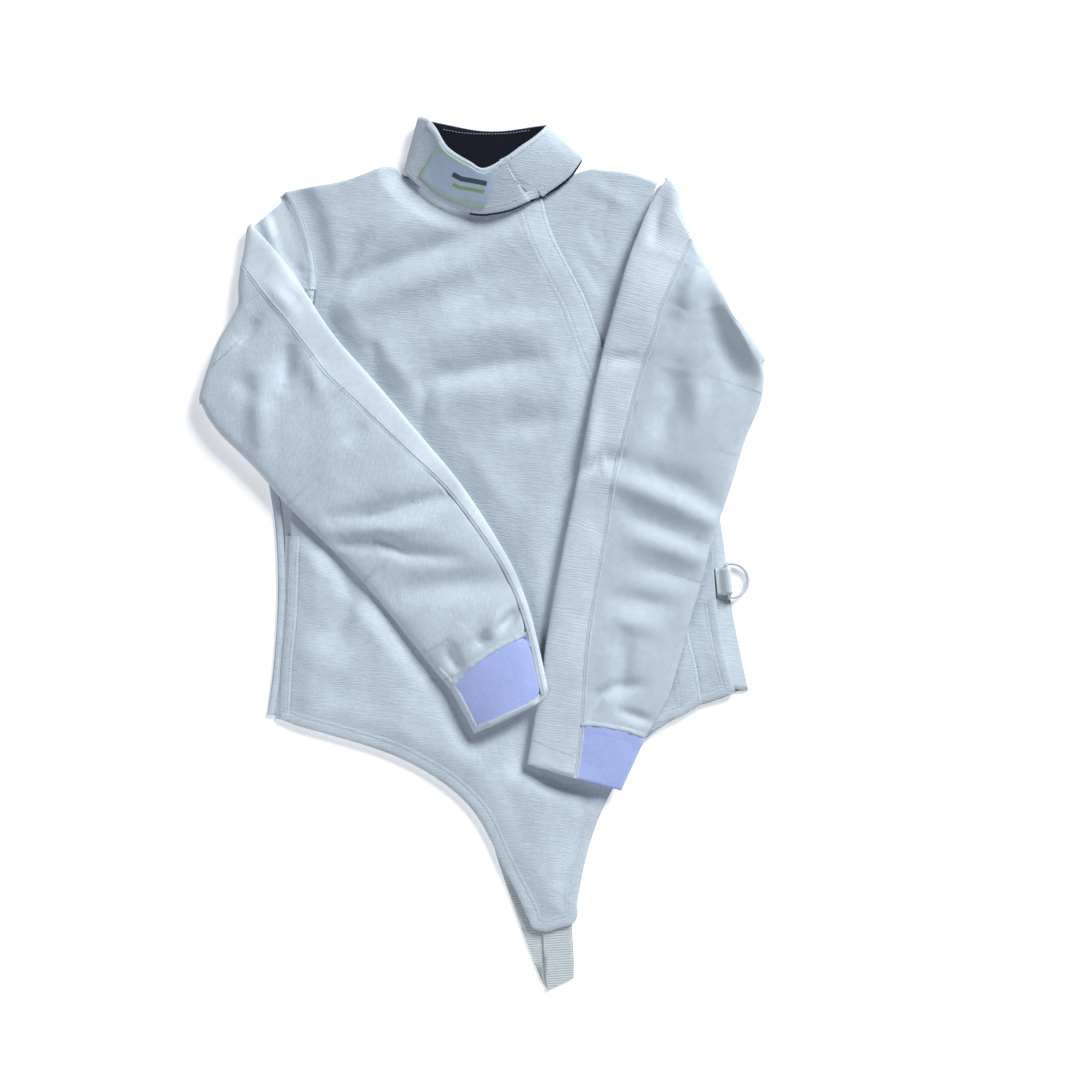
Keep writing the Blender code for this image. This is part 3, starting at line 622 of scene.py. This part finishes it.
RIGHT_ROUTE = [
    # x, y, half width, in millimetres down the middle of the shown part
    (-287, 266, 105), (-255, 243, 113), (-222, 191, 106), (-189, 148, 96),
    (-152, 110, 88), (-109, 61, 81), (-70, 18, 76), (-30, -40, 72), (-7, -77, 69),
    (12, -116, 57), (32, -175, 47),
]
LEFT_ROUTE = [
    (259, 314, 115), (252, 301, 126), (234, 253, 121), (216, 205, 113), (194, 130, 104),
    (174, 42, 94), (155, -6, 89), (137, -94, 79), (115, -177, 66), (100, -245, 56),
]
RIGHT_CREASES = [
    # half width, rise, and the points of each fold
    (9, -9.4, (-162, 37), (-118, 43), (-69, 56), (-40, 62), (-36, 70)),
    (8, -7.2, (-162, 10), (-113, 14), (-96, 7), (-85, 1), (-47, -3), (-25, -4)),
    (10, 6.1, (-150, 26), (-100, 26), (-60, 30)),
    (16, -8.2, (-91, -42), (-30, -34), (36, -31)),
    (6, -7.3, (38, -62), (30, -72), (19, -81)),
    (6, -5.7, (8, -88), (-6, -100)),
    (7, -5.9, (-36, -106), (-25, -128)),
    (8, 4.1, (20, -62), (6, -92)),
    (9, 3.2, (-16, -80), (-34, -100)),
    (8, -6.2, (-245, 257), (-256, 243), (-267, 230)),
    (10, -8.2, (-212, 230), (-217, 186)),
    (9, -3.8, (-151, 120), (-129, 142)),
    (12, 7.4, (-243, 191), (-243, 114)),
    (10, 4.1, (-190, 215), (-176, 170)),
    (14, 3.8, (-60, 100), (-110, 60)),
    (9, -7.9, (-228, 389), (-219, 356), (-210, 329), (-201, 301)),
    (7, 3.0, (-240, 372), (-228, 340)),
    (9, -4.1, (-272, 320), (-288, 300)),
    (9, 3.5, (-230, 290), (-205, 262)),
    (12, -3.5, (-270, 190), (-240, 170)),
]
LEFT_CREASES = [
    (7, -6.2, (107, 87), (129, 101), (151, 106)),
    (12, -5.8, (157, 100), (200, 82), (226, 73), (252, 52)),
    (11, 6.4, (139, 80), (202, 58), (258, 32)),
    (12, -4.9, (158, 42), (205, 28), (246, 8)),
    (11, 3.8, (165, 18), (246, -8)),
    (13, -3.9, (158, -8), (232, -28)),
    (10, -4.1, (150, -48), (205, -58)),
    (10, 3.2, (140, -70), (195, -84)),
    (7, -3.8, (129, 213), (173, 213)),
    (11, 8.6, (239, 312), (228, 290), (217, 268)),
    (13, 10.4, (236, 316), (270, 265), (305, 208)),
    (13, -7.4, (239, 318), (252, 290), (256, 270)),
    (15, -8.6, (212, 202), (206, 169), (190, 125)),
    (12, 4.6, (236, 190), (232, 140)),
    (10, -5.1, (157, -95), (151, -150)),
    (7, -5.1, (118, -177), (129, -155), (146, -146), (173, -144)),
    (6, -4.1, (151, -172), (184, -183)),
    (11, 4.1, (120, 150), (112, 100)),
    (14, -5.2, (258, 244), (286, 185)),
    (7, -4.1, (200, 392), (192, 372), (188, 340)),
]
RIGHT_SEAM = [(-257, 306), (-236, 279), (-214, 253), (-191, 223), (-171, 197), (-129, 157),
              (-80, 110), (-36, 68), (10, 5), (34, -38), (51, -87), (66, -154)]
LEFT_SEAM = [(228, 344), (217, 320), (206, 296), (195, 271), (187, 240), (175, 206), (164, 168),
             (153, 124), (142, 77), (134, 22), (123, -41), (114, -101), (110, -159), (108, -192),
             (101, -245)]
CAP_SEAM = [(-216, 397), (-201, 373), (-192, 348), (-185, 318), (-184, 290)]


def on_route(x, y, route):
    """Length along a route and signed distance across it, with its half width there,
    for places seen from above, all in millimetres."""
    route = np.array(route, float)
    steps = np.linalg.norm(np.diff(route[:, :2], axis=0), axis=1)
    marks = np.concatenate([[0], np.cumsum(steps)])
    best = np.full_like(x, 1e9)
    length, across, half = np.zeros_like(x), np.zeros_like(x), np.ones_like(x)
    for number, (a, b) in enumerate(zip(route[:-1], route[1:])):
        run = b[:2] - a[:2]
        size = np.hypot(*run)
        t = ((x - a[0]) * run[0] + (y - a[1]) * run[1]) / size ** 2
        low = -9 if number == 0 else 0
        high = 9 if number == len(route) - 2 else 1
        t = np.clip(t, low, high)
        off_x, off_y = x - a[0] - t * run[0], y - a[1] - t * run[1]
        away = np.hypot(off_x, off_y)
        nearer = away < best
        side = (run[0] * off_y - run[1] * off_x) / size
        best = np.where(nearer, away, best)
        length = np.where(nearer, marks[number] + t * size, length)
        across = np.where(nearer, side, across)
        half = np.where(nearer, a[2] + np.clip(t, 0, 1) * (b[2] - a[2]), half)
    return length, across, half


def lay_weave(piece, route, name="weave"):
    """A UV map in metres that follows a route: U across it, V along it."""
    points = points_of(piece)
    length, across, _ = on_route(points[:, 0] / MM, points[:, 1] / MM, route)
    corners = np.empty(len(piece.data.loops), np.int32)
    piece.data.loops.foreach_get("vertex_index", corners)
    layer = piece.data.uv_layers.new(name=name)
    layer.data.foreach_set("uv", (np.column_stack([across, length]) * MM)[corners]
                           .astype(np.float32).ravel())


# In millimetres: how high a sleeve stands along its middle, its uneven swell, and how
# far inside its outline its thickness is felt, so that its cut ends move as one.
CROWN = 7.5
SWELL = 2.0
FELT_INSIDE = 1.2


def billow(pieces, creases, route, crown, swell, seed):
    """Shapes a flattened tube: its lowest face stays, its top face moves over folds,
    crown and swell, and what lies between moves in proportion."""
    tree = skin(*pieces)
    middle = np.mean([points_of(piece).mean(axis=0) for piece in pieces], axis=0)
    for piece in pieces:
        points = points_of(piece)
        inward = (middle - points)[:, :2]
        inner = points[:, :2] + FELT_INSIDE * MM * inward / np.linalg.norm(inward, axis=1)[:, None]
        x, y = points[:, 0] / MM, points[:, 1] / MM
        length, across, half = on_route(x, y, route)
        arch = np.clip(1 - np.abs(across / half) ** 2.3, 0, 1)
        start = ease((length + 10) / 60)
        rise = (crown * MM * arch * start + swell * MM * uneven(x, y, seed) * (0.2 + 0.8 * arch))
        dips = crease_relief(x, y, creases)
        share, depth = np.zeros(len(points)), np.zeros(len(points))
        for number, (point, place) in enumerate(zip(points, inner)):
            upper = tree.ray_cast(Vector((*place, OVER_ALL)), DOWN)
            lower = tree.ray_cast(Vector((*place, -OVER_ALL)), UP)
            if upper[0] is None or lower[0] is None:
                continue
            depth[number] = deep = upper[0].z - lower[0].z
            if deep > 0.5 * MM:
                share[number] = min(max((point[2] - lower[0].z) / deep, 0), 1)
        points[:, 2] += np.maximum(rise + dips, -0.45 * depth) * share
        put_points(piece, points)


sleeve_cloth = cloth("white_sleeve_cloth", WHITE, 0.62,
                     [(1.3, 52, 0.25, 0.5, 1.0), (1.3, -40, 0.2, 0.4, 0.6)], "weave", 0.17)
# The strip is the sleeve's own white twill, coloured lighter than the rest of the sleeve: painted
# light.
painted_light_strip_cloth = cloth("white_painted_light_strip_cloth", (0.59, 0.67, 0.745), 0.66,
                    [(2.8, 4, 0.6, 0.9, 1.0), (1.1, 90, 0.3, 0.4, 0.5)], "weave", 0.1)
lilac_knit = cloth("lilac_knit", (0.385, 0.47, 0.83), 0.55,
                   [(2.1, 38, 0.05, 0.2, 1.0), (2.1, -38, 0.05, 0.2, 1.0)], "weave", 0.15, 0.3,
                   0.3)

RIGHT_CUFF_TOP = [(-33, -146), (-14, -127), (10, -109), (32, -97), (50, -90)]
LEFT_CUFF_TOP = [(108, -188), (129, -189), (157, -195), (177, -202)]
RIGHT_CUFF_END = [(-9, -197), (19, -185), (58, -166), (72, -154)]
RIGHT_CUFF_SIDE = [(-52, -128), (-34, -150), (-9, -197)]
STRIP_HEM = [(54, -203), (77, -212.5), (101, -221)]
KNIT_TOP = [(-12.0, -0.4), (-8.0, 0.1), (-0.8, 0.3), (0.0, 0.25), (0.4, -0.3)]
GATHER = [(-0.4, -0.3), (0.1, 0.6), (1.2, 1.0), (3.2, 0.7), (5.6, -0.25)]
TURNED_END = [(0.3, -0.9), (0.8, 0.3), (1.6, 0.6), (4.0, 0.65), (6.4, 0.55), (7.4, -0.3)]
SLEEVE_CUTS = {
    # side: flat sizes and areas of the front piece, the back piece and the cuff
    "right": ((0.26, 0.72, 0.101), (0.20, 0.66, 0.078), (0.09, 0.07, 0.0055)),
    "left": ((0.33, 0.76, 0.138), (0.17, 0.70, 0.067), (0.062, 0.066, 0.0035)),
}
sleeves = {}
for side, route, creases, seed in (("right", RIGHT_ROUTE, RIGHT_CREASES, 11.0),
                                   ("left", LEFT_ROUTE, LEFT_CREASES, 17.0)):
    strip = shell(side + "_sleeve_front_cloth", side + "_sleeve_front", 3)
    panel = shell(side + "_sleeve_back_cloth", side + "_sleeve_back", 3, longest=20)
    cuff = shell(side + "_cuff_knit", side + "_cuff", 3)
    billow([strip, panel, cuff], creases, route, CROWN, SWELL, seed)
    sleeves[side] = (strip, panel, cuff)
    sleeve_skin = skin(strip, panel, cuff)
    seam = RIGHT_SEAM if side == "right" else LEFT_SEAM
    trim = [tape(side + "_sleeve_seam", seam, WELT, sleeve_skin, sleeve_cloth, None)]
    rows_of = [(seam, 2.2)]
    if side == "right":
        cap_skin = skin(strip, panel, cuff, front)
        cap_profile = [(-offset, height) for offset, height in SEAM]
        trim.append(tape("right_armhole_seam", CAP_SEAM, cap_profile, cap_skin, sleeve_cloth,
                         None))
        rows_of.append((CAP_SEAM, -5.7))
        trim.append(tape("right_cuff_turning", RIGHT_CUFF_END, TURNED_END, sleeve_skin,
                         sleeve_cloth))
        trim.append(tape("right_cuff_side", RIGHT_CUFF_SIDE, TURNED_END, sleeve_skin,
                         sleeve_cloth))
        cuff_top = RIGHT_CUFF_TOP
    else:
        rows_of += [(STRIP_HEM, 0)]
        cuff_top = LEFT_CUFF_TOP
    trim.append(tape(side + "_cuff_gathers", cuff_top, GATHER, sleeve_skin, sleeve_cloth, None,
                     1.6))
    knit_top = tape(side + "_cuff_top", cuff_top, KNIT_TOP, sleeve_skin, lilac_knit, None,
                    0.2)
    for band in [*trim, knit_top]:
        lay_weave(band, route)
    trim.append(stitches(side + "_sleeve_stitches", rows_of, skin(strip, panel, *trim, front)))
    finishes = (painted_light_strip_cloth, sleeve_cloth, lilac_knit)
    slots = ("white_cloth", "white_cloth", "lilac_elastic")
    for piece, finish, place, cut in zip(sleeves[side], finishes, slots, SLEEVE_CUTS[side]):
        lay_weave(piece, route)
        piece.data.materials.append(finish)
        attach(piece, "jacket")

# ---------------------------------------------------------------------------------
# Collar: a stiff stand-up band in the body cloth, lined with smooth navy cloth. Its
# right end laps over its left end, and a bare satin label is sewn to the right front.

collar = shell("collar_cloth", "collar", 2, 1.7)
collar.data.materials.append(body_cloth)
lining = shell("collar_lining_cloth", "collar_lining", 2, 1.0)
navy = cloth("navy_lining_cloth", (0.006, 0.008, 0.018), 0.6, [(0.8, 20, 0.1, 0.2, 1.0)],
             "Object", 0.1, 0.4, 0.1)
navy_shader = navy.node_tree.nodes["Principled BSDF"]
navy_shader.inputs["Sheen Weight"].default_value = 0.0
navy_shader.inputs["Specular IOR Level"].default_value = 0.12
lining.data.materials.append(navy)
label = shell("label_satin", "collar_label", 2, 0.6)
LABEL_ROUTE = [(-60, 426, 19), (-24, 406, 19), (15, 398, 19)]
lay_weave(label, LABEL_ROUTE)
SATIN = (0.48, 0.60, 0.76)
PALE_GREEN = (0.40, 0.58, 0.50)
SLATE = (0.05, 0.07, 0.12)
LEAF_GREEN = (0.24, 0.46, 0.16)
satin = cloth("pale_blue_satin", SATIN, 0.42, [(0.8, 64, 0.05, 0.2, 1.0)],
              "weave", 0.06, 0.4, 0.2)
label.data.materials.append(satin)

# The label's weave: a green edge all round and two plain bars.
band, band_in, band_out = effect("woven_bar", [
    ("Across", "NodeSocketFloat", 0.0), ("Middle", "NodeSocketFloat", 0.0),
    ("Half Width", "NodeSocketFloat", 0.01)], [("Mask", "NodeSocketFloat")])
off_middle = maths(band, "ABSOLUTE", maths(band, "SUBTRACT", band_in.outputs["Across"],
                                           band_in.outputs["Middle"]))
inside = maths(band, "SUBTRACT", band_in.outputs["Half Width"], off_middle)
soft = node(band, "ShaderNodeMath", {0: maths(band, "MULTIPLY_ADD", inside, 2500.0, 0.5)},
            operation="ADD", use_clamp=True)
band.links.new(soft.outputs[0], band_out.inputs["Mask"])
tree = satin.node_tree
places = node(tree, "ShaderNodeSeparateXYZ",
              {0: node(tree, "ShaderNodeUVMap", uv_map="weave").outputs[0]})


def bar(axis, middle, half):
    made = node(tree, "ShaderNodeGroup", node_tree=band)
    tree.links.new(places.outputs[axis], made.inputs["Across"])
    made.inputs["Middle"].default_value = middle * MM
    made.inputs["Half Width"].default_value = half * MM
    return made.outputs["Mask"]


field = maths(tree, "MULTIPLY", bar("X", 0, 16.5), bar("Y", 40, 38))
slate_bar = maths(tree, "MULTIPLY", bar("X", 3, 2.4), bar("Y", 50, 20))
green_bar = maths(tree, "MULTIPLY", bar("X", -6, 1.7), bar("Y", 52, 17))
colour = (*PALE_GREEN, 1)
for mask, paint in ((field, SATIN), (slate_bar, SLATE), (green_bar, LEAF_GREEN)):
    colour = node(tree, "ShaderNodeMixRGB", {"Fac": mask, "Color1": colour,
                                             "Color2": (*paint, 1)}).outputs[0]
tree.links.new(colour, tree.nodes["handling_and_painted_shade"].inputs["Colour"])

COLLAR_FOOT = [(-86, 420), (-82, 414), (-69, 402), (-52, 389), (-36, 381), (-17, 375), (3, 372),
               (30, 377), (52, 387), (62, 390)]
WING_FOOT = [(66, 391), (74, 397), (94, 412), (102, 422), (108, 431)]
FACING_LINE = [(-14, 373.5), (3, 372), (30, 377), (52, 387), (74, 397), (94, 412), (102, 422),
               (108, 432)]
COLLAR_END = [(26, 430), (38, 410), (53, 398)]
WING_TOP = [(30, 434), (54, 452), (64, 461), (68, 466)]
COLLAR_TOP = [(-58, 471), (-49, 460), (-40, 444), (-25, 433), (-12, 426), (2, 419), (22, 429)]
LINING_LINE = [(-44, 466), (-20, 462), (5, 461), (30, 462), (52, 465)]
BINDING = [(0.2, -0.5), (0.8, 0.12), (3.0, 0.22), (5.8, 0.2), (6.8, 0.0), (7.6, 0.15), (9.4, -0.25)]
NARROW = [(-0.2, -0.5), (-0.8, 0.1), (-3.4, 0.16), (-4.2, 0.0), (-5.0, -0.25)]
collar_skin = skin(collar)
collar_trim = [
    tape("collar_foot_binding", COLLAR_FOOT, BINDING, collar_skin, body_cloth),
    tape("collar_wing_binding", WING_FOOT, BINDING, collar_skin, body_cloth),
    # These two top edges take the lighter strip cloth: a painted highlight along the collar's rims.
    tape("collar_wing_edge", WING_TOP, NARROW, collar_skin, painted_light_strip_cloth),
    tape("collar_top_edge", COLLAR_TOP, NARROW, collar_skin, painted_light_strip_cloth),
]
lay_weave(collar_trim[2], [(30, 434, 5), (68, 466, 5)])
lay_weave(collar_trim[3], [(-58, 471, 5), (-25, 433, 5), (22, 429, 5)])
collar_trim.append(stitches("collar_stitches", [
    (COLLAR_FOOT, 6.8), (WING_FOOT, 6.8), (COLLAR_END, -3.0), (WING_TOP, -4.2),
    (COLLAR_TOP, -4.2), ([(22, 409), (40, 409), (52, 404)], 0)], skin(collar, *collar_trim)))
facing = tape("collar_facing_edge", FACING_LINE,
              [(-1.8, -2.6), (-1.2, -1.6), (-0.4, -1.2), (1.0, -1.2)], collar_skin, navy)
lining_stitches = stitches("lining_stitches", [(LINING_LINE, 0)], skin(lining))
for piece, place, cut, trim in (
        (collar, "white_cloth", (0.44, 0.058), collar_trim),
        (lining, "navy_lining", (0.34, 0.056), [facing, lining_stitches]),
        (label, "label_satin", (0.09, 0.042), ())):
    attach(piece, "jacket")

# ---------------------------------------------------------------------------------
# Crotch strap: 30 mm ribbed webbing, sewn under the tail's tip, folded at the bottom
# and run back under the tail to the back's hem.

STRAP_ROUTE = [(82, -390, 16), (82, -413, 16), (86, -474, 16)]
strap = shell("strap_webbing", "crotch_strap", 3, 1.3)
webbing = cloth("white_webbing", (0.58, 0.65, 0.68), 0.6,
                [(2.6, 0, 0.02, 0.1, 1.0), (1.1, 90, 0.05, 0.2, 0.6)], "weave", 0.4, 0.3, 0.15)
lay_weave(strap, STRAP_ROUTE)
strap.data.materials.append(webbing)
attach(strap, "jacket")

# ---------------------------------------------------------------------------------
# Ring tab: a short length of the same webbing on the back's left edge, doubled round
# the straight bar of a lacquered wire D-ring, which swings in it.

TAB_ROUTE = [(266, -48, 12), (270, -12, 12)]
tab = shell("painted_light_tab_webbing", "ring_tab", 3, 1.3)
lay_weave(tab, TAB_ROUTE)
# The tab is the strap's webbing, coloured lighter than the strap: painted light against the shade on
# its loop.
painted_light_tab_webbing = cloth("painted_light_tab_webbing", (0.60, 0.68, 0.72), 0.6,
                    [(3.1, 84, 0.03, 0.1, 1.0), (1.1, 0, 0.05, 0.2, 0.5)], "weave", 0.2, 0.3,
                    0.15)
tab.data.materials.append(painted_light_tab_webbing)
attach(tab, "jacket")

ring = shell("d_ring_wire", "d_ring", 2, 99)
lacquer = bpy.data.materials.new("white_lacquer")
lacquer.use_nodes = True
tree = lacquer.node_tree
shader = tree.nodes["Principled BSDF"]
spot = tree.nodes.new("ShaderNodeTexCoord").outputs["Object"]
marks = node(tree, "ShaderNodeGroup", node_tree=worn)
tree.links.new(spot, marks.inputs["Place"])
marks.inputs["Colour"].default_value = (0.62, 0.67, 0.74, 1)
marks.inputs["Amount"].default_value = 0.3
tree.links.new(marks.outputs["Colour"], shader.inputs["Base Color"])
shader.inputs["Roughness"].default_value = 0.35
ring.data.materials.append(lacquer)
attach(ring, "d_ring")
